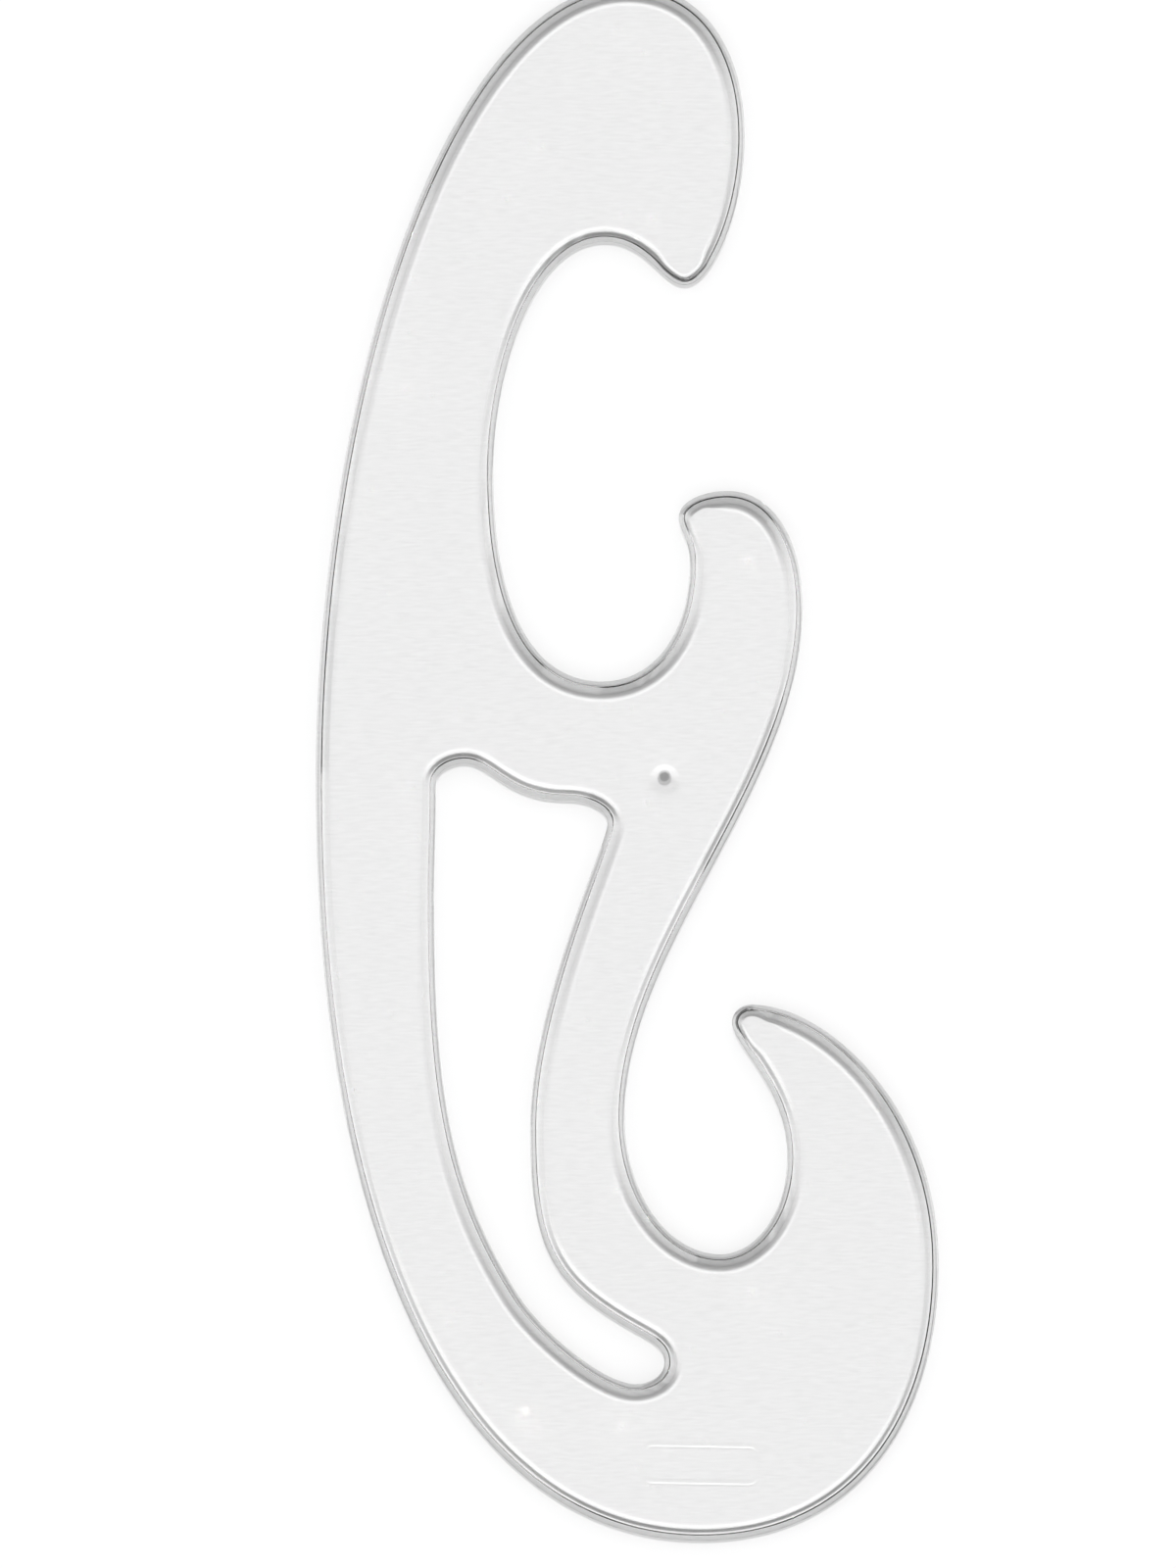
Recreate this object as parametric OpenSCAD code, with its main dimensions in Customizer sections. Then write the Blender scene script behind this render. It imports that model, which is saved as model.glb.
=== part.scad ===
// French curve: a clear moulded drawing template with three scrolled ends and a curved window.
// It lies flat with its marked face up, and its edge stands clear of the paper. X runs across it from the
// spine, Y runs along it from the base.
// Fullness is a pair, into and out of a landmark: how far the curve keeps the landmark's direction,
// as a share of the run to the next landmark. Small values turn sharply, large values stay full.

/* [Plate and inking edge] */
// Thickness of the plate
plate_thickness = 2.4; // [2:0.1:4]
// Height of the upright land that the pen runs along
edge_land = 0.3; // [0.2:0.05:0.5]
// Width of the lip round every edge
lip_width = 0.9; // [0.5:0.1:1.5]
// Thickness of the lip where it meets the step
lip_thickness = 0.8; // [0.6:0.05:1]
// Height of the step between lip and bevel
step_height = 0.5; // [0.2:0.05:0.6]
// Draft of the step, measured across the edge
step_draft = 0.1; // [0.05:0.01:0.2]
// Width of the bevel from the step down to the underside
bevel_width = 1.4; // [0.8:0.1:2]
// Share of a tip's own radius that the edge's forms may take up
tip_share = 0.8; // [0.5:0.05:0.9]

/* [Spine and base] */
// Height of the spine's outermost point above the base
spine_height = 130.6; // [110:0.1:150]
// Fullness at the spine's outermost point
spine_fullness = [0.63, 0.49]; // [0.3:0.01:0.8]
// Distance of the base's lowest point from the spine
base_reach = 66.5; // [55:0.1:75]
// Fullness at the base's lowest point
base_fullness = [0.67, 0.61]; // [0.3:0.01:0.8]

/* [Head] */
// Depth of the head above the ceiling of the bay
head_depth = 44.3; // [35:0.1:55]
// Distance of the head's top from the wall of the bay
head_top_offset = 23.2; // [15:0.1:28]
// Fullness at the head's top
head_top_fullness = [0.58, 0.62]; // [0.3:0.01:0.8]
// Height of the head's right side above the ceiling of the bay
head_side_rise = 18.1; // [12:0.1:24]
// Reach of the head's right side past the tip of the beak
head_side_reach = 10.3; // [6:0.1:14]
// Fullness at the head's right side
head_side_fullness = [0.60, 0.48]; // [0.3:0.01:0.8]
// Distance of the beak's tip from the wall of the bay
beak_reach = 33.1; // [28:0.1:38]
// Drop of the beak's tip below the ceiling of the bay
beak_drop = 7.5; // [5:0.1:10]
// Fullness at the beak's tip
beak_fullness = [0.48, 0.29]; // [0.2:0.01:0.6]

/* [Bay] */
// Land between the spine and the wall of the bay
bay_land = 30.6; // [26:0.1:36]
// Height of the bay from its floor to its ceiling
bay_height = 76; // [64:0.1:86]
// Distance of the ceiling's highest point from the wall
ceiling_offset = 19.3; // [14:0.1:24]
// Fullness at the ceiling
ceiling_fullness = [0.52, 0.66]; // [0.3:0.01:0.8]
// Height of the wall's deepest point above the floor
wall_rise = 36.5; // [28:0.1:44]
// Fullness at the wall
wall_fullness = [0.40, 0.60]; // [0.3:0.01:0.8]
// Distance of the floor's lowest point from the wall
floor_offset = 18.9; // [14:0.1:24]
// Fullness at the floor
floor_fullness = [0.70, 0.60]; // [0.3:0.01:0.8]

/* [Hook] */
// Width of the bay from its wall to the inner side of the hook
hook_gap = 34; // [29:0.1:40]
// Height of the hook's inner side above the floor of the bay
hook_gap_rise = 20.6; // [15:0.1:24]
// Fullness at the hook's inner side
hook_gap_fullness = [0.58, 0.52]; // [0.3:0.01:0.8]
// Reach of the hook's nose over the bay, past its inner side
hook_nose_reach = 1.9; // [1:0.1:3]
// Height of the hook's nose above the floor of the bay
hook_nose_rise = 28.4; // [26:0.1:30]
// Fullness at the hook's nose
hook_nose_fullness = [0.29, 0.58]; // [0.2:0.01:0.8]
// Height of the hook's crown above the floor of the bay
hook_height = 32.9; // [32:0.1:38]
// Distance of the hook's crown from its nose
hook_crown_offset = 8.3; // [6:0.1:11]
// Fullness at the hook's crown
hook_crown_fullness = [0.51, 0.62]; // [0.3:0.01:0.8]
// Width of the hook from its nose to its right side
hook_width = 21.3; // [17:0.1:26]
// Height of the hook's right side above the floor of the bay
hook_side_rise = 12.8; // [8:0.1:18]
// Fullness at the hook's right side
hook_side_fullness = [0.58, 0.35]; // [0.2:0.01:0.8]

/* [Stem and cove] */
// Length of the stem from the floor of the cove to the floor of the bay
stem_length = 98.9; // [85:0.1:115]
// Depth of the foot from the base to the floor of the cove
foot_depth = 49.4; // [42:0.1:58]
// Width of the waist from the spine to the wall of the cove
waist_width = 53.3; // [48:0.1:58]
// Height of the cove's wall above its floor
cove_wall_rise = 23.7; // [18:0.1:30]
// Fullness at the cove's wall
cove_wall_fullness = [0.34, 0.55]; // [0.2:0.01:0.8]
// Distance of the cove's lowest point from its wall
cove_floor_offset = 16.6; // [12:0.1:20]
// Fullness at the cove's floor
cove_floor_fullness = [0.55, 0.50]; // [0.3:0.01:0.8]
// Width of the cove
cove_width = 28.1; // [24:0.1:33]
// Height of the cove's right side above its floor
cove_side_rise = 16.9; // [12:0.1:22]
// Fullness at the cove's right side
cove_side_fullness = [0.60, 0.53]; // [0.3:0.01:0.8]

/* [Tail] */
// Reach of the tail's nose over the cove
tail_nose_reach = 9.5; // [6:0.1:12]
// Height of the tail's nose above the floor of the cove
tail_nose_rise = 40.1; // [34:0.1:41]
// Fullness at the tail's nose
tail_nose_fullness = [0.17, 0.57]; // [0.1:0.01:0.7]
// Height of the tail's crown above the floor of the cove
tail_height = 43.1; // [42.5:0.1:50]
// Distance of the tail's crown from its nose
tail_crown_offset = 3.4; // [2.5:0.1:6]
// Fullness at the tail's crown
tail_crown_fullness = [0.57, 0.39]; // [0.3:0.01:0.8]
// Width of the tail from the cove's right side to its own right side
tail_width = 26.1; // [21:0.1:32]
// Height of the tail's right side above the base
tail_side_height = 47.7; // [38:0.1:56]
// Fullness at the tail's right side
tail_side_fullness = [0.62, 0.55]; // [0.3:0.01:0.8]

/* [Window] */
// Land between the spine and the window
spine_land = 20.4; // [16:0.1:24]
// Land between the floor of the bay and the window's saddle
bridge_land = 20.5; // [15:0.1:26]
// Land between the wall of the cove and the window's stem side
stem_land = 16.3; // [12:0.1:20]
// Land between the base and the bottom of the window
base_land = 27; // [22:0.1:32]
// Distance of the window's crest from its spine side
crest_offset = 5.3; // [4:0.1:8]
// Rise of the crest above the saddle
crest_rise = 6.4; // [4:0.1:9]
// Fullness at the crest
crest_fullness = [0.55, 0.25]; // [0.2:0.01:0.8]
// Distance of the saddle from the bay's floor point, towards the spine
saddle_offset = 6.2; // [3:0.1:9]
// Fullness at the saddle
saddle_fullness = [0.60, 0.50]; // [0.2:0.01:0.8]
// Reach of the right corner past the saddle
corner_reach = 7.1; // [5:0.1:10]
// Drop of the right corner below the saddle
corner_drop = 3.9; // [2:0.1:6]
// Fullness at the right corner
corner_fullness = [0.60, 0.06]; // [0.05:0.01:0.8]
// Drop of the stem side's nearest point below the cove's wall
stem_side_drop = 1.7; // [0:0.1:6]
// Fullness at the stem side
stem_side_fullness = [0.40, 0.58]; // [0.2:0.01:0.8]
// Reach of the window's toe past the wall of the cove
toe_reach = 6.9; // [3:0.1:10]
// Height of the toe's tip above the window's bottom
toe_rise = 3.7; // [2.5:0.1:5]
// Fullness at the toe's tip
toe_fullness = [0.50, 0.55]; // [0.2:0.01:0.8]
// Distance of the instep from the toe's tip
instep_offset = 6.4; // [4:0.1:9]
// Rise of the instep above the toe's tip
instep_rise = 6.1; // [4:0.1:8]
// Slope of the instep
instep_slope = 30; // [20:1:40]
// Fullness at the instep
instep_fullness = [0.50, 0.50]; // [0.2:0.01:0.8]
// Distance of the window's lowest point from the toe's tip
sole_offset = 5.1; // [3:0.1:7]
// Fullness at the window's lowest point
sole_fullness = [0.55, 0.25]; // [0.2:0.01:0.8]
// Distance of the heel from the toe's tip
heel_offset = 25.6; // [20:0.1:30]
// Rise of the heel above the window's bottom
heel_rise = 15.9; // [10:0.1:20]
// Slope of the heel
heel_slope = 58; // [50:1:66]
// Fullness at the heel
heel_fullness = [0.35, 0.35]; // [0.2:0.01:0.8]
// Drop of the spine side's nearest point below the saddle
spine_side_drop = 17.5; // [10:0.1:26]
// Fullness at the spine side
spine_side_fullness = [0.45, 0.50]; // [0.2:0.01:0.8]
// Distance of the left corner from the window's spine side
left_corner_offset = 0.3; // [0:0.1:1]
// Drop of the left corner below the crest
left_corner_drop = 3.6; // [2:0.1:6]
// Fullness at the left corner
left_corner_fullness = [0.50, 0.55]; // [0.2:0.01:0.8]

/* [Gate mark] */
// Distance of the gate mark from the bay's floor point, away from the spine
gate_offset = 10.7; // [6:0.1:14]
// Distance of the gate mark below the floor of the bay
gate_drop = 16.4; // [10:0.1:22]
// Diameter of the dimple round the gate
dimple_diameter = 5.8; // [5:0.1:7]
// Diameter of the dimple's floor
dimple_floor = 3.2; // [2.8:0.1:4]
// Depth of the dimple
dimple_depth = 0.4; // [0.2:0.05:0.6]
// Diameter of the gate's stub
stub_diameter = 2; // [1:0.1:2.5]
// Depth of the stub's top below the face
stub_recess = 0.1; // [0.05:0.05:0.15]

/* [Name panel] */
// Length of the panel's raised border
panel_length = 20.2; // [14:0.1:26]
// Height of the panel's raised border
panel_height = 6.9; // [5:0.1:9]
// Radius of the border's corners
panel_radius = 2; // [1:0.1:2.4]
// Width of the border's line
panel_line = 0.5; // [0.3:0.05:0.8]
// Height of the border's line above the face
panel_relief = 0.15; // [0.05:0.05:0.3]
// Distance of the panel's middle above the base
panel_rise = 13.5; // [10:0.1:17]
// Tilt of the panel
panel_tilt = -1; // [-3:0.5:3]

/* [Hidden] */
$fn = 48;
// Longest straight stretch of an outline and least number of stretches between two landmarks
point_spacing = 5;
least_steps = 8;
// Depth by which a cut runs past what it cuts, and by which a raised form is rooted in the plate
overlap = 0.2;

// Directions of travel: every outline runs clockwise
RIGHT = 0;
UP = 90;
LEFT = 180;
DOWN = -90;

// Levels of the landmarks above the base
cove_y = foot_depth;
bay_y = cove_y + stem_length;
ceiling_y = bay_y + bay_height;
saddle_y = bay_y - bridge_land;
crest_y = saddle_y + crest_rise;
toe_y = base_land + toe_rise;

// Distances of the landmarks from the spine
beak_x = bay_land + beak_reach;
bay_x = bay_land + floor_offset;
hook_gap_x = bay_land + hook_gap;
hook_nose_x = hook_gap_x - hook_nose_reach;
cove_side_x = waist_width + cove_width;
tail_nose_x = cove_side_x - tail_nose_reach;
saddle_x = bay_x - saddle_offset;
toe_x = waist_width + toe_reach;

// Landmarks: place, direction of travel and fullness
rim_landmarks = [
    [[bay_land + head_top_offset, ceiling_y + head_depth], RIGHT, head_top_fullness],
    [[beak_x + head_side_reach, ceiling_y + head_side_rise], DOWN, head_side_fullness],
    [[beak_x, ceiling_y - beak_drop], LEFT, beak_fullness],
    [[bay_land + ceiling_offset, ceiling_y], LEFT, ceiling_fullness],
    [[bay_land, bay_y + wall_rise], DOWN, wall_fullness],
    [[bay_x, bay_y], RIGHT, floor_fullness],
    [[hook_gap_x, bay_y + hook_gap_rise], UP, hook_gap_fullness],
    [[hook_nose_x, bay_y + hook_nose_rise], UP, hook_nose_fullness],
    [[hook_nose_x + hook_crown_offset, bay_y + hook_height], RIGHT, hook_crown_fullness],
    [[hook_nose_x + hook_width, bay_y + hook_side_rise], DOWN, hook_side_fullness],
    [[waist_width, cove_y + cove_wall_rise], DOWN, cove_wall_fullness],
    [[waist_width + cove_floor_offset, cove_y], RIGHT, cove_floor_fullness],
    [[cove_side_x, cove_y + cove_side_rise], UP, cove_side_fullness],
    [[tail_nose_x, cove_y + tail_nose_rise], UP, tail_nose_fullness],
    [[tail_nose_x + tail_crown_offset, cove_y + tail_height], RIGHT, tail_crown_fullness],
    [[cove_side_x + tail_width, tail_side_height], DOWN, tail_side_fullness],
    [[base_reach, 0], LEFT, base_fullness],
    [[0, spine_height], UP, spine_fullness],
];
window_landmarks = [
    [[spine_land + crest_offset, crest_y], RIGHT, crest_fullness],
    [[saddle_x, saddle_y], RIGHT, saddle_fullness],
    [[saddle_x + corner_reach, saddle_y - corner_drop], DOWN, corner_fullness],
    [[waist_width - stem_land, cove_y + cove_wall_rise - stem_side_drop], DOWN, stem_side_fullness],
    [[toe_x - instep_offset, toe_y + instep_rise], RIGHT - instep_slope, instep_fullness],
    [[toe_x, toe_y], DOWN, toe_fullness],
    [[toe_x - sole_offset, base_land], LEFT, sole_fullness],
    [[toe_x - heel_offset, base_land + heel_rise], LEFT - heel_slope, heel_fullness],
    [[spine_land, saddle_y - spine_side_drop], UP, spine_side_fullness],
    [[spine_land + left_corner_offset, crest_y - left_corner_drop], UP, left_corner_fullness],
];

// A landmark's direction as a vector
function direction(mark) = [cos(mark[1]), sin(mark[1])];

// How far the curve between two landmarks runs along the direction of one of them
function run_along(from, to, mark) = abs((to[0] - from[0]) * direction(mark));

// Point of the curve between two landmarks, at the share u of the way
function span_point(from, to, u) =
    let (leaving = from[0] + from[2][1] * run_along(from, to, from) * direction(from))
    let (arriving = to[0] - to[2][0] * run_along(from, to, to) * direction(to))
    pow(1 - u, 3) * from[0] + 3 * u * pow(1 - u, 2) * leaving
    + 3 * u * u * (1 - u) * arriving + pow(u, 3) * to[0];

// Closed outline through a list of landmarks
function outline(marks) = [
    for (i = [0 : len(marks) - 1])
        let (from = marks[i], to = marks[(i + 1) % len(marks)])
        let (steps = max(least_steps, ceil(norm(to[0] - from[0]) / point_spacing)))
        for (k = [0 : steps - 1])
            span_point(from, to, k / steps)
];

// Unit vector square to a stretch of outline, towards the material: side 1 is right of travel, -1 is left
function inward(stretch, side) = side * [stretch.y, -stretch.x] / norm(stretch);

// Corner of an outline moved into the material by a width, held back at a tip that is too small for it
function inset_corner(before, here, after, width, side) =
    let (first = inward(here - before, side), second = inward(after - here, side))
    let (middle = (first + second) / norm(first + second))
    let (half_turn = acos(min(1, first * middle)))
    let (is_tip = side * cross(here - before, after - here) < 0 && half_turn > 0)
    let (stretch = min(norm(here - before), norm(after - here)))
    let (reach = is_tip ? min(width, tip_share * stretch / (2 * sin(half_turn))) : width)
    here + middle * reach / cos(half_turn);

// Whole outline moved into the material by a width
function inset(loop, width, side) =
    let (count = len(loop))
    [for (i = [0 : count - 1])
        inset_corner(loop[(i + count - 1) % count], loop[i], loop[(i + 1) % count], width, side)];

// Section of what is taken off an edge: width into the material and level above the underside
lip_slope = (lip_thickness - edge_land) / lip_width;
lip_root = plate_thickness - lip_thickness;
bevel_start = lip_width + step_draft;
bevel_top = lip_root - step_height;
bevel_end = bevel_start + bevel_width;
bevel_overrun = overlap * bevel_width / bevel_top;
edge_section = [
    [-overlap, plate_thickness - edge_land + overlap * lip_slope],
    [lip_width, lip_root],
    [bevel_start, bevel_top],
    [bevel_end + bevel_overrun, -overlap],
    [-overlap, -overlap],
];

rim = outline(rim_landmarks);
window = outline(window_landmarks);
across = [for (p = rim) p.x];
along = [for (p = rim) p.y];
centre = [min(across) + max(across), min(along) + max(along)] / 2;

// Ring that takes the lip, the step and the bevel off one edge
module edge_relief(loop, side) {
    count = len(loop);
    sides = len(edge_section);
    rings = [for (q = edge_section) [for (p = inset(loop, q[0], side)) [p.x, p.y, q[1]]]];
    faces = [
        for (j = [0 : sides - 1])
            for (i = [0 : count - 1])
                let (a = j * count, b = (j + 1) % sides * count, next = (i + 1) % count)
                side > 0 ? [a + i, a + next, b + next, b + i] : [b + i, b + next, a + next, a + i]
    ];
    polyhedron([for (ring = rings) each ring], faces, convexity = 10);
}

// Flat plate with its window, at full thickness
module blank() {
    linear_extrude(plate_thickness)
        polygon(
            concat(rim, window),
            [[for (i = [0 : len(rim) - 1]) i], [for (i = [0 : len(window) - 1]) len(rim) + i]]
        );
}

// Rectangle with round corners
module rounded_rectangle(length, height, radius) {
    square([length - 2 * radius, height], center = true);
    square([length, height - 2 * radius], center = true);
    for (x = [-1, 1], y = [-1, 1])
        translate([x * (length / 2 - radius), y * (height / 2 - radius)])
            circle(radius);
}

// Stub of the moulding gate, kept below the face in a round dimple with a sloping wall
module gate_stub() {
    translate([0, 0, plate_thickness - dimple_depth - overlap])
        cylinder(d = stub_diameter, h = dimple_depth - stub_recess + overlap);
}

module gate_dimple() {
    translate([0, 0, plate_thickness - dimple_depth])
        cylinder(d1 = dimple_floor, d2 = dimple_diameter, h = dimple_depth);
    translate([0, 0, plate_thickness])
        cylinder(d = dimple_diameter, h = overlap);
}

// Raised border of the bare name panel
module name_panel() {
    translate([0, 0, plate_thickness - overlap])
        linear_extrude(panel_relief + overlap)
            difference() {
                rounded_rectangle(panel_length, panel_height, panel_radius);
                rounded_rectangle(
                    panel_length - 2 * panel_line, panel_height - 2 * panel_line, panel_radius - panel_line
                );
            }
}

// The whole template, one clear moulding
module curve_plate() {
    gate_place = [bay_x + gate_offset, bay_y - gate_drop, 0];
    color([0.93, 0.94, 0.94, 0.6])
        translate([-centre.x, -centre.y, 0]) {
            difference() {
                blank();
                edge_relief(rim, 1);
                edge_relief(window, -1);
                translate(gate_place)
                    gate_dimple();
            }
            translate(gate_place)
                gate_stub();
            translate([base_reach, panel_rise, 0])
                rotate(panel_tilt)
                    name_panel();
        }
}

curve_plate();
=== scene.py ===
from math import cos, radians, sin

import bmesh
import bpy
from mathutils import Matrix, Vector
from mathutils.geometry import interpolate_bezier


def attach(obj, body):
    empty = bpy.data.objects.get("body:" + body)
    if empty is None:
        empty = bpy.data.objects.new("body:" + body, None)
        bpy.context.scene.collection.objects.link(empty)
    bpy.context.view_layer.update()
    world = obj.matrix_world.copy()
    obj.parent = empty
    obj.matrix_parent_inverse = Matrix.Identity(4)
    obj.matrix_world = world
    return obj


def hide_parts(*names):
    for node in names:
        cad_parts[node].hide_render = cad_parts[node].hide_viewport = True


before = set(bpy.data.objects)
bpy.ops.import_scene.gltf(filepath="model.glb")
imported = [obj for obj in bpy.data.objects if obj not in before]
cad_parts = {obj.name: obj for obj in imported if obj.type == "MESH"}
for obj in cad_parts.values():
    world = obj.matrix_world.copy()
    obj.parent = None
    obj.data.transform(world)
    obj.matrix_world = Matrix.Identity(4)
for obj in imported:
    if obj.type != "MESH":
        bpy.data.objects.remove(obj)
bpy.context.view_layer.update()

# Plate
# One clear injection moulding, polished on both faces. A lip, a step and a bevel run round its
# outline and round its window, so that ink can't creep under the edge that the pen follows.
MM = 0.001
RIGHT, UP, LEFT, DOWN = 0, 90, 180, -90
point_spacing, least_steps = 0.8, 16
centre = Vector((53.75, 134.3))

# Landmarks, clockwise: place in mm from spine and base, heading, and fullness into and out of it
rim_landmarks = [
    ((53.8, 268.6), RIGHT, (0.58, 0.62)),  # top of the head
    ((74.0, 242.4), DOWN, (0.60, 0.48)),  # right side of the head
    ((63.7, 216.8), LEFT, (0.48, 0.29)),  # tip of the beak
    ((49.9, 224.3), LEFT, (0.52, 0.66)),  # ceiling of the bay
    ((30.6, 184.8), DOWN, (0.40, 0.60)),  # wall of the bay
    ((49.5, 148.3), RIGHT, (0.70, 0.60)),  # floor of the bay
    ((64.6, 168.9), UP, (0.58, 0.52)),  # inner side of the hook
    ((62.7, 176.7), UP, (0.29, 0.58)),  # nose of the hook
    ((71.0, 181.2), RIGHT, (0.51, 0.62)),  # crown of the hook
    ((84.0, 161.1), DOWN, (0.58, 0.35)),  # right side of the hook
    ((53.3, 73.1), DOWN, (0.34, 0.55)),  # wall of the cove
    ((69.9, 49.4), RIGHT, (0.55, 0.50)),  # floor of the cove
    ((81.4, 66.3), UP, (0.60, 0.53)),  # right side of the cove
    ((71.9, 89.5), UP, (0.17, 0.57)),  # nose of the tail
    ((75.3, 92.5), RIGHT, (0.57, 0.39)),  # crown of the tail
    ((107.5, 47.7), DOWN, (0.62, 0.55)),  # right side of the tail
    ((66.5, 0.0), LEFT, (0.67, 0.61)),  # base
    ((0.0, 130.6), UP, (0.63, 0.49)),  # spine
]
window_landmarks = [
    ((25.7, 134.2), RIGHT, (0.55, 0.25)),  # crest
    ((43.3, 127.8), RIGHT, (0.60, 0.50)),  # saddle
    ((50.4, 123.9), DOWN, (0.60, 0.06)),  # right corner
    ((37.0, 71.4), DOWN, (0.40, 0.58)),  # stem side
    ((53.8, 36.8), -30, (0.50, 0.50)),  # instep
    ((60.2, 30.7), DOWN, (0.50, 0.55)),  # toe
    ((55.1, 27.0), LEFT, (0.55, 0.25)),  # sole
    ((34.6, 42.9), 122, (0.35, 0.35)),  # heel
    ((20.4, 110.3), UP, (0.45, 0.50)),  # spine side
    ((20.7, 130.6), UP, (0.50, 0.55)),  # left corner
]

# Section of the edge: width into the plastic and level in mm, and how far each crease is rounded
face_level, land_foot, lip_root, bevel_top = 2.4, 2.1, 1.6, 1.1
lip_width, bevel_start, bevel_end, full_width = 0.9, 1.0, 2.4, 3.6
edge_section = [
    (0.5, face_level, 0.0),  # face
    (0.0, face_level, 0.05),  # top of the land
    (0.0, land_foot, 0.05),  # foot of the land
    (lip_width, lip_root, 0.06),  # root of the lip
    (bevel_start, bevel_top, 0.10),  # top of the bevel
    (bevel_end, 0.0, 0.30),  # foot of the bevel
    (full_width, 0.0, 0.0),  # underside
]
bevel_foot = 2.75  # just past the rounding of the bevel's foot
bands_below = 2.2  # the forms of the edge lie below this level

# At a tip the forms take this share of its radius. They stay even over its length, then widen slowly
tip_share, tip_length, tip_taper = 0.9, 5, 3
tip_neighbours = 60


def rounded(section):
    """A section with each of its creases drawn out into a short curve."""
    points = [Vector(section[0][:2])]
    for before, here, after in zip(section, section[1:], section[2:]):
        corner = Vector(here[:2])
        start = corner + (Vector(before[:2]) - corner).normalized() * here[2]
        end = corner + (Vector(after[:2]) - corner).normalized() * here[2]
        points += [start.lerp(corner, t).lerp(corner.lerp(end, t), t) for t in (0, 0.25, 0.5, 0.75, 1)]
    return points + [Vector(section[-1][:2])]


def outline(landmarks):
    """Points of the closed curve through a list of landmarks, in mm from the plate's middle."""
    points = []
    for start, end in zip(landmarks, landmarks[1:] + landmarks[:1]):
        (here, heading, (_, leaving)), (there, arrival, (arriving, _)) = start, end
        here, there = Vector(here) - centre, Vector(there) - centre
        out = Vector((cos(radians(heading)), sin(radians(heading))))
        into = Vector((cos(radians(arrival)), sin(radians(arrival))))
        first = here + out * leaving * abs((there - here).dot(out))
        second = there - into * arriving * abs((there - here).dot(into))
        steps = max(least_steps, round((there - here).length / point_spacing))
        controls = [p.to_3d() for p in (here, first, second, there)]
        points += interpolate_bezier(*controls, steps + 1)[:-1]
    return points


def tip_room(points, side):
    """How far the edge's forms may reach in from each point before they meet the other side's."""
    count, room = len(points), []
    around = range(-tip_neighbours, tip_neighbours + 1)
    for i, here in enumerate(points):
        run = points[(i + 1) % count] - points[i - 1]
        inward = Vector((run.y, -run.x, 0)).normalized() * side
        reach = full_width
        for k in around:
            chord = points[(i + k) % count] - here
            depth = chord.dot(inward)
            if depth > 0.001:
                reach = min(reach, tip_share * chord.length_squared / (2 * depth))
        room.append(reach)
    even = []
    for i, here in enumerate(points):
        near = [(i + k) % count for k in around]
        even.append(min(room[j] + max(0, (points[j] - here).length - tip_length) / tip_taper for j in near))
    return even


def inset(points, width, level, side, room):
    """The points of an outline moved into the plastic, at a level. The bevel shrinks at a narrow tip."""
    moved = []
    for i, here in enumerate(points):
        run = points[(i + 1) % len(points)] - points[i - 1]
        inward = Vector((run.y, -run.x, 0)).normalized() * side
        squeeze = min(1, (room[i] - lip_width) / (bevel_foot - lip_width))
        reach = min(width, lip_width) + max(0, min(width, bevel_foot) - lip_width) * squeeze
        reach += max(0, room[i] - bevel_foot) * max(0, width - bevel_foot) / (full_width - bevel_foot)
        height = level
        if level < bevel_top:
            height = level * squeeze
        elif level < lip_root:
            step = lip_root - bevel_top * squeeze
            height = lip_root - (lip_root - level) * step / (lip_root - bevel_top)
        moved.append(here + inward * reach + Vector((0, 0, height)))
    return moved


def next_ring(ring, places, width):
    """Extrudes a closed ring of edges, moves it to new places and returns it."""
    grown = bmesh.ops.extrude_edge_only(plate, edges=ring)["geom"]
    for v in grown:
        if isinstance(v, bmesh.types.BMVert):
            v.co = places[v[order]]
            v[across] = width
    return [e for e in grown if isinstance(e, bmesh.types.BMEdge) and e.is_boundary]


# Each point keeps its order in its ring, how far across the edge it lies, how far the edge faces the
# head there, and how much light it adds or takes
plate = bmesh.new()
order = plate.verts.layers.int.new("order")
across = plate.verts.layers.float.new("across")
to_head = plate.verts.layers.float.new("to_head")
gain = plate.verts.layers.float.new("gain")
underside = []
for landmarks, side in ((rim_landmarks, 1), (window_landmarks, -1)):
    points = outline(landmarks)
    room = tip_room(points, side)
    turns = [(a - b).normalized().y for a, b in zip(points, inset(points, lip_width, 0, side, room))]
    ring = None
    for width, level in rounded(edge_section):
        places = [p * MM for p in inset(points, width, level, side, room)]
        band = width if level < bands_below else full_width
        if ring is None:
            corners = [plate.verts.new(p) for p in places]
            for i, v in enumerate(corners):
                v[order], v[across], v[to_head] = i, band, turns[i]
            ring = [plate.edges.new((a, b)) for a, b in zip(corners, corners[1:] + corners[:1])]
        else:
            ring = next_ring(ring, places, band)
    underside += ring
bmesh.ops.triangle_fill(plate, use_beauty=False, use_dissolve=False, edges=underside)

# Gate mark
# Where the plastic ran into the mould: a small stub, broken off below the face, in a round dimple.
gate = (Vector((60.2, 131.9)) - centre).to_3d() * MM
gate_segments = 64
dimple_floor, stub_top = 2.0, 2.3
stub_reach, wall_start, wall_end = 1.1, 1.7, 2.8
# Light and shade painted on the sheet below through the shadow shares, from the dimple's wall and the stub
wall_gain, wall_shade, stub_gain = 0.55, -0.2, -0.5
gate_section = [
    (3.4, face_level, 0.0),  # face
    (2.9, face_level, 0.3),  # rim of the dimple
    (1.6, dimple_floor, 0.3),  # floor of the dimple
    (1.05, dimple_floor, 0.08),  # foot of the stub
    (0.95, stub_top, 0.15),  # top of the stub
    (0.3, stub_top, 0.0),  # middle of the stub
]
gate_steps = rounded(gate_section)
gate_radius = gate_steps[0].x * MM
circle = bmesh.ops.create_circle(plate, cap_ends=False, segments=gate_segments, radius=gate_radius)["verts"]
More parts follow.
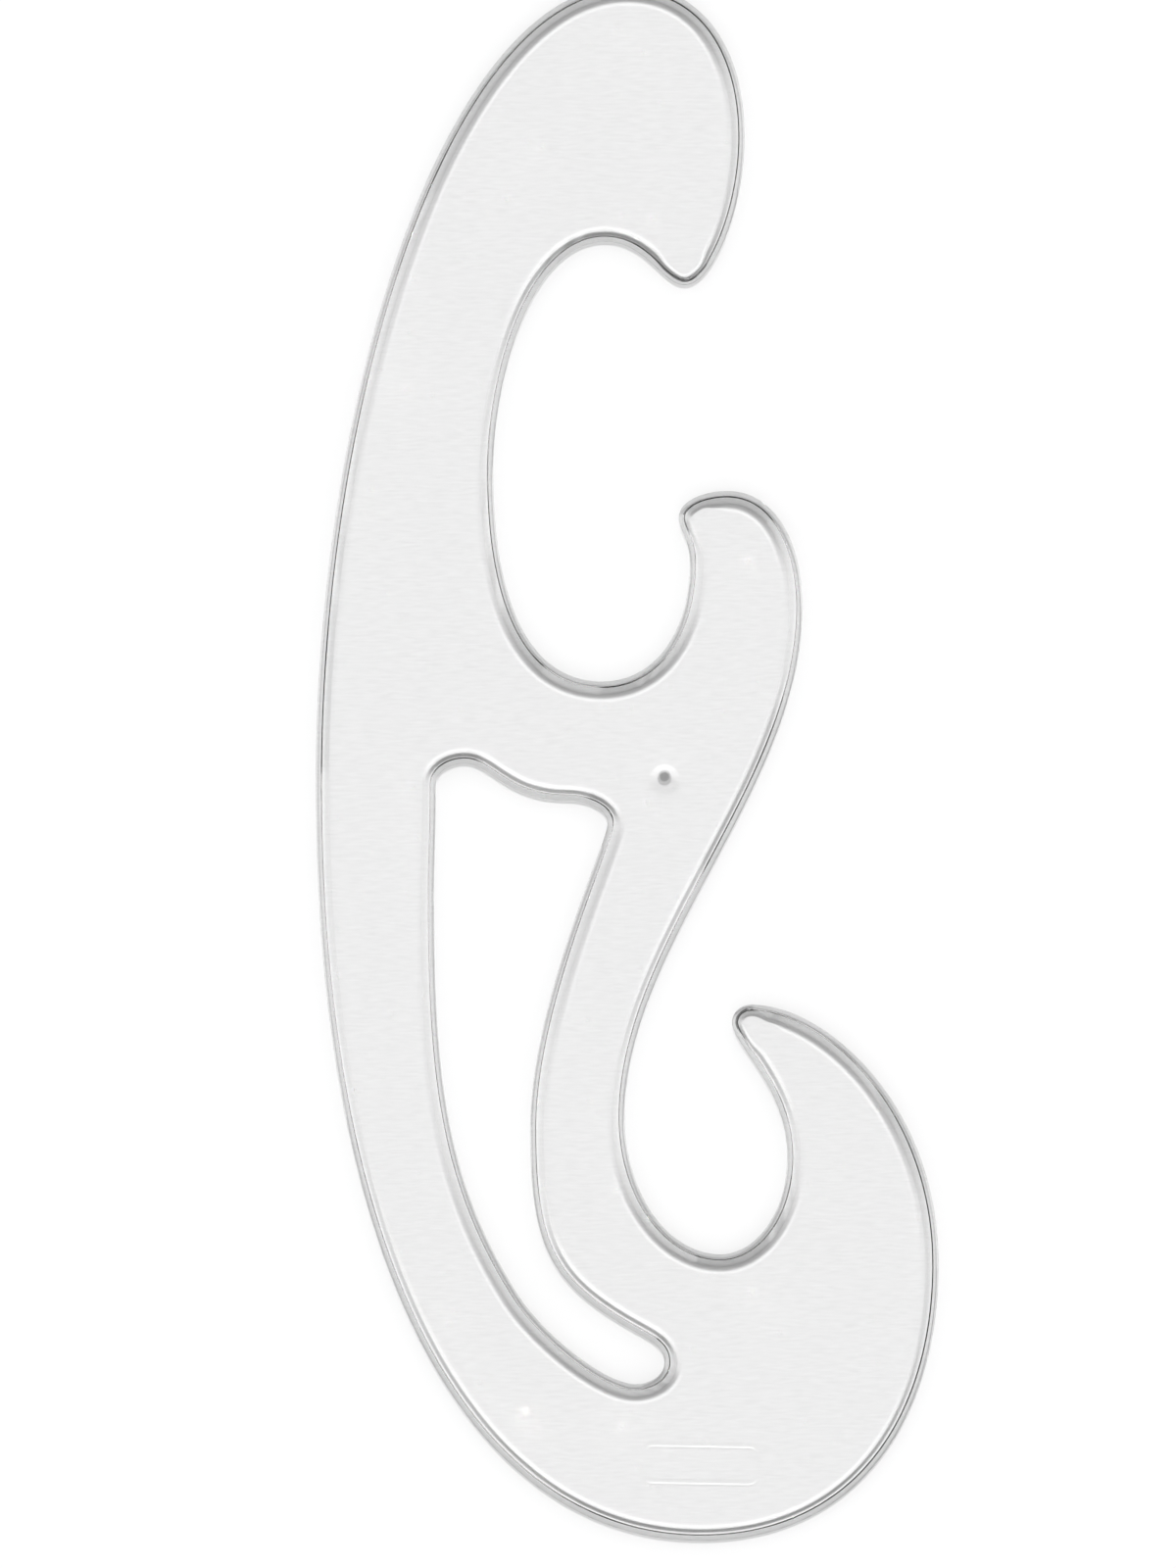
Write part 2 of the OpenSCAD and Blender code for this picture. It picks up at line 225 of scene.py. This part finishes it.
bmesh.ops.translate(plate, verts=circle, vec=gate + Vector((0, 0, gate_steps[0].y * MM)))
for v in circle:
    v[across] = full_width
ring = list(dict.fromkeys(e for v in circle for e in v.link_edges))
for here, there in zip(gate_steps, gate_steps[1:]):
    grown = bmesh.ops.extrude_edge_only(plate, edges=ring)["geom"]
    corners = [v for v in grown if isinstance(v, bmesh.types.BMVert)]
    ring = [e for e in grown if isinstance(e, bmesh.types.BMEdge) and e.is_boundary]
    shrink = there.x / here.x
    bmesh.ops.scale(plate, verts=corners, vec=(shrink, shrink, 1), space=Matrix.Translation(-gate))
    bmesh.ops.translate(plate, verts=corners, vec=(0, 0, (there.y - here.y) * MM))
    # Painted light and shade on the sheet below: a crescent of light from the dimple's wall towards the
    # head, a little shade on its other side, and shade under the stub
    for v in corners:
        if there.x < stub_reach:
            v[gain] = stub_gain
        elif wall_start < there.x < wall_end:
            v[gain] = wall_gain * max(wall_shade, (v.co - gate).normalized().y)
bmesh.ops.contextual_create(plate, geom=ring)

# Name panel
# A thin raised line round a bare field, cut into the mould near the base.
panel_length, panel_height, panel_radius, panel_tilt = 20.2, 6.9, 2.0, -1
panel_line, panel_relief, line_draft, line_flank = 0.5, 0.15, 0.12, 0.2
# Light and shade painted on the sheet below through the shadow shares: a bright line under the raised line,
# darker flanks beside it
line_gain, flank_gain, line_fade = 0.45, -0.3, 4
corner_segments, least_corners = 8, 30
panel_place = (Vector((66.5, 13.5)) - centre).to_3d() * MM + Vector((0, 0, face_level * MM))
outer_length, outer_height = panel_length + 2 * line_flank, panel_height + 2 * line_flank
corners = bmesh.ops.create_grid(plate, x_segments=1, y_segments=1, size=0.5)["verts"]
bmesh.ops.scale(plate, verts=corners, vec=(outer_length * MM, outer_height * MM, 1))
bmesh.ops.rotate(plate, verts=corners, matrix=Matrix.Rotation(radians(panel_tilt), 3, "Z"))
bmesh.ops.translate(plate, verts=corners, vec=panel_place)
bmesh.ops.bevel(
    plate,
    geom=corners,
    offset=panel_radius * MM,
    affect="VERTICES",
    segments=corner_segments,
    profile=0.5,
    material=-1,
)
many_sided = [f for f in plate.faces if len(f.verts) > least_corners]
field = [f for f in many_sided if abs(f.calc_center_median().x - panel_place.x) < MM]
for v in field[0].verts:
    v[across] = full_width
# Painted light under the raised line and painted shade on its flanks, fading out towards the middle of its
# ends
for width, rise, brightness in (
    (line_flank, 0, flank_gain),
    (line_draft, panel_relief, line_gain),
    (panel_line - 2 * line_draft, 0, line_gain),
    (line_draft, -panel_relief, flank_gain),
    (line_flank, 0, 0),
):
    bmesh.ops.inset_region(
        plate,
        faces=field,
        thickness=width * MM,
        depth=rise * MM,
        use_boundary=True,
        use_even_offset=True,
    )
    for v in field[0].verts:
        off_middle = abs(v.co.y - panel_place.y) / (panel_height / 2 - panel_line) / MM
        v[gain] = brightness * min(1, off_middle) ** line_fade
open_edges = [e for e in plate.edges if e.is_boundary]
bmesh.ops.triangle_fill(plate, use_beauty=False, use_dissolve=False, edges=open_edges)

# The plate's mesh, with its creases sharp and its faces flat
sharp_angle = 50
bmesh.ops.recalc_face_normals(plate, faces=plate.faces)
for f in plate.faces:
    f.smooth = True
mesh = bpy.data.meshes.new("template")
plate.to_mesh(mesh)
plate.free()
mesh.set_sharp_from_angle(angle=radians(sharp_angle))
template = bpy.data.objects.new("template", mesh)
bpy.context.scene.collection.objects.link(template)
crisp = template.modifiers.new("flat_faces", "WEIGHTED_NORMAL")
crisp.keep_sharp = True

# Clear plastic
# Colourless and polished, with the fine streaks that the mould's polishing leaves along X. The top of the
# gate's stub is darkened in its colour: painted shade.
# Painted shade: the colour darkens to this share at the stub's top, standing in for the light its rough
# broken top turns away
stub_shade_start, stub_shade_end, stub_shade_darkest = 0.6, 1.0, 0.35
plastic = bpy.data.materials.new("clear_plastic")
plastic.use_nodes = True
nodes, link = plastic.node_tree.nodes, plastic.node_tree.links.new
shader, output = nodes["Principled BSDF"], nodes["Material Output"]
shader.inputs["IOR"].default_value = 1.49
shader.inputs["Transmission Weight"].default_value = 1
place = nodes.new("ShaderNodeTexCoord")
stretch = nodes.new("ShaderNodeMapping")
stretch.inputs["Scale"].default_value = (350, 2800, 350)
link(place.outputs["Object"], stretch.inputs["Vector"])
streaks = nodes.new("ShaderNodeTexNoise")
streaks.inputs["Scale"].default_value = 1
streaks.inputs["Detail"].default_value = 4
link(stretch.outputs["Vector"], streaks.inputs["Vector"])
tone = nodes.new("ShaderNodeValToRGB")
tone.color_ramp.elements[0].position = 0.3
tone.color_ramp.elements[0].color = (0.93, 0.93, 0.93, 1)
tone.color_ramp.elements[1].position = 0.7
tone.color_ramp.elements[1].color = (1, 1, 1, 1)
link(streaks.outputs["Fac"], tone.inputs["Fac"])
# Painted shade at the stub: darker towards its top, multiplied into the streaks' colour
away = nodes.new("ShaderNodeVectorMath")
away.operation = "DISTANCE"
away.inputs[1].default_value = gate + Vector((0, 0, stub_top * MM))
link(place.outputs["Object"], away.inputs[0])
stub_painted_shade = nodes.new("ShaderNodeMapRange")
stub_painted_shade.interpolation_type = "SMOOTHSTEP"
stub_painted_shade.inputs["From Min"].default_value = stub_shade_start * MM
stub_painted_shade.inputs["From Max"].default_value = stub_shade_end * MM
stub_painted_shade.inputs["To Min"].default_value = stub_shade_darkest
link(away.outputs["Value"], stub_painted_shade.inputs["Value"])
tone_and_stub_shade = nodes.new("ShaderNodeMix")
tone_and_stub_shade.data_type = "RGBA"
tone_and_stub_shade.blend_type = "MULTIPLY"
tone_and_stub_shade.inputs["Factor"].default_value = 1
link(tone.outputs["Color"], tone_and_stub_shade.inputs["A"])
link(stub_painted_shade.outputs["Result"], tone_and_stub_shade.inputs["B"])
link(tone_and_stub_shade.outputs["Result"], shader.inputs["Base Color"])
polish = nodes.new("ShaderNodeMapRange")
polish.inputs["To Min"].default_value = 0.01
polish.inputs["To Max"].default_value = 0.05
link(streaks.outputs["Fac"], polish.inputs["Value"])
link(polish.outputs["Result"], shader.inputs["Roughness"])

# The lamps shine straight through the flat faces. The bands of the edge bend their light aside and
# gather it elsewhere. Shares of light stand in for that: how much a band lets through goes by its place
# across the edge and the way the edge faces.
def value(name):
    """A value that each point of the plate keeps."""
    kept = nodes.new("ShaderNodeAttribute")
    kept.attribute_name = name
    return kept.outputs["Fac"]


def share(source, steps):
    """A share read off a few steps of a value."""
    curve = nodes.new("ShaderNodeFloatCurve")
    curve.mapping.clip_min_x, curve.mapping.clip_max_x, curve.mapping.clip_max_y = -1, 4, 3
    line = curve.mapping.curves[0]
    for point, step in zip(line.points, (steps[0], steps[-1])):
        point.location = step
    for step in steps[1:-1]:
        line.points.new(*step)
    for point in line.points:
        point.handle_type = "VECTOR"
    curve.mapping.update()
    link(source, curve.inputs["Value"])
    return curve.outputs["Value"]


def mixed(part, first, second):
    """The first value, or the second as far as the part goes."""
    mix = nodes.new("ShaderNodeMix")
    link(part, mix.inputs["Factor"])
    link(first, mix.inputs["A"])
    link(second, mix.inputs["B"])
    return mix.outputs["Result"]


# Steps of width in mm and share of light, on edges that face a side, the head and the base
width_in, way = value("across"), value("to_head")
SIDE = [
    (0.0, 1.0), (1.0, 1.0), (1.2, 0.8), (1.45, 0.8), (1.6, 1.15),
    (1.8, 1.15), (1.95, 0.92), (2.3, 0.96), (3.2, 1.0), (3.6, 1.0),
]
HEAD = [
    (0.0, 0.64), (0.9, 0.68), (1.0, 0.24), (1.1, 0.24), (1.2, 0.56), (1.6, 0.66), (2.1, 0.66),
    (2.2, 0.38), (2.52, 0.38), (2.7, 0.5), (2.98, 0.85), (3.15, 1.12), (3.35, 1.2), (3.6, 1.0),
]
BASE = [
    (0.0, 0.55), (1.0, 0.6), (1.58, 0.68), (1.66, 1.4), (1.8, 1.4), (1.88, 0.2),
    (2.1, 0.2), (2.2, 1.3), (2.45, 1.35), (2.65, 1.08), (3.0, 1.0), (3.6, 1.0),
]

# How far an edge counts as facing the head or the base, and what passes where a ray skims the plastic
TURN = [(0.0, 0.0), (0.2, 0.1), (0.5, 0.7), (0.8, 1.0), (1.0, 1.0)]
to_the_head = share(way, [(-1.0, 0.0)] + TURN)
to_the_base = share(way, [(-x, y) for x, y in reversed(TURN)] + [(1.0, 0.0)])
side_or_head = mixed(to_the_head, share(width_in, SIDE), share(width_in, HEAD))
edge = mixed(to_the_base, side_or_head, share(width_in, BASE))
glance = nodes.new("ShaderNodeLayerWeight")
SKIMMED = [(0.0, 0.985), (0.25, 0.985), (0.5, 0.6), (0.7, 0.15), (1.0, 0.0)]
let_through = nodes.new("ShaderNodeMath")
let_through.operation = "MULTIPLY_ADD"
link(edge, let_through.inputs[0])
link(share(glance.outputs["Facing"], SKIMMED), let_through.inputs[1])
link(value("gain"), let_through.inputs[2])
shadow = nodes.new("ShaderNodeBsdfTransparent")
link(let_through.outputs["Value"], shadow.inputs["Color"])
ray = nodes.new("ShaderNodeLightPath")
either = nodes.new("ShaderNodeMixShader")
link(ray.outputs["Is Shadow Ray"], either.inputs["Fac"])
link(shader.outputs["BSDF"], either.inputs[1])
link(shadow.outputs["BSDF"], either.inputs[2])
link(either.outputs["Shader"], output.inputs["Surface"])
mesh.materials.append(plastic)
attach(template, "root")
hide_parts("curve_plate")

# Table
# A plain white sheet that the template lies on, lit evenly from above.
table_half, table_gap = 1500, 0.05
sheet = bmesh.new()
bmesh.ops.create_grid(sheet, x_segments=1, y_segments=1, size=table_half * MM)
bmesh.ops.translate(sheet, verts=sheet.verts, vec=(0, 0, -table_gap * MM))
table_mesh = bpy.data.meshes.new("table")
sheet.to_mesh(table_mesh)
sheet.free()
table = bpy.data.objects.new("table", table_mesh)
bpy.context.scene.collection.objects.link(table)
paper = bpy.data.materials.new("white_paper")
paper.use_nodes = True
finish = paper.node_tree.nodes["Principled BSDF"].inputs
finish["Base Color"].default_value = (0.98, 0.98, 0.98, 1)
finish["Roughness"].default_value = 0.9
finish["Specular IOR Level"].default_value = 0
table_mesh.materials.append(paper)

# Light and camera
# A broad soft sky, a smaller key lamp towards the head, and a long lens straight above. The key lamp
# isn't mirrored in the plastic.
lamp_height = 3
scene = bpy.context.scene
scene.view_settings.view_transform = "Standard"
scene.cycles.caustics_refractive = False
scene.cycles.caustics_reflective = False


def sun(name, power, tilt, spread):
    """A lamp far above the plate, with its tilt and its spread in degrees."""
    data = bpy.data.lights.new(name, "SUN")
    data.energy = power
    data.angle = radians(spread)
    data.cycles.use_multiple_importance_sampling = False
    made = bpy.data.objects.new(name, data)
    made.location = (0, 0, lamp_height)
    made.rotation_euler = (radians(tilt), 0, 0)
    scene.collection.objects.link(made)
    return made


sun("sky", power=1.52, tilt=0, spread=150)
key = sun("key", power=1.84, tilt=-12, spread=4)
key.visible_glossy = False
key.visible_transmission = False

# The backdrop is seen, mirrored and seen through the plastic, but doesn't light the sheet
world = bpy.data.worlds.new("studio")
scene.world = world
world.use_nodes = True
backdrop = world.node_tree.nodes["Background"]
backdrop.inputs["Color"].default_value = (0.9, 0.9, 0.9, 1)
seen = world.node_tree.nodes.new("ShaderNodeLightPath")
mirrored = world.node_tree.nodes.new("ShaderNodeMath")
mirrored.operation = "MAXIMUM"
any_seen = world.node_tree.nodes.new("ShaderNodeMath")
any_seen.operation = "MAXIMUM"
join = world.node_tree.links.new
join(seen.outputs["Is Camera Ray"], mirrored.inputs[0])
join(seen.outputs["Is Glossy Ray"], mirrored.inputs[1])
join(mirrored.outputs["Value"], any_seen.inputs[0])
join(seen.outputs["Is Transmission Ray"], any_seen.inputs[1])
join(any_seen.outputs["Value"], backdrop.inputs["Strength"])

lens, sensor = 400, 36
view_x, view_y, view_height = -6.76, -3.66, 270.93
camera_data = bpy.data.cameras.new("camera")
camera_data.lens = lens
camera_data.sensor_width = sensor
camera = bpy.data.objects.new("camera", camera_data)
camera.location = (view_x * MM, view_y * MM, view_height * MM * lens / sensor)
scene.collection.objects.link(camera)
scene.camera = camera
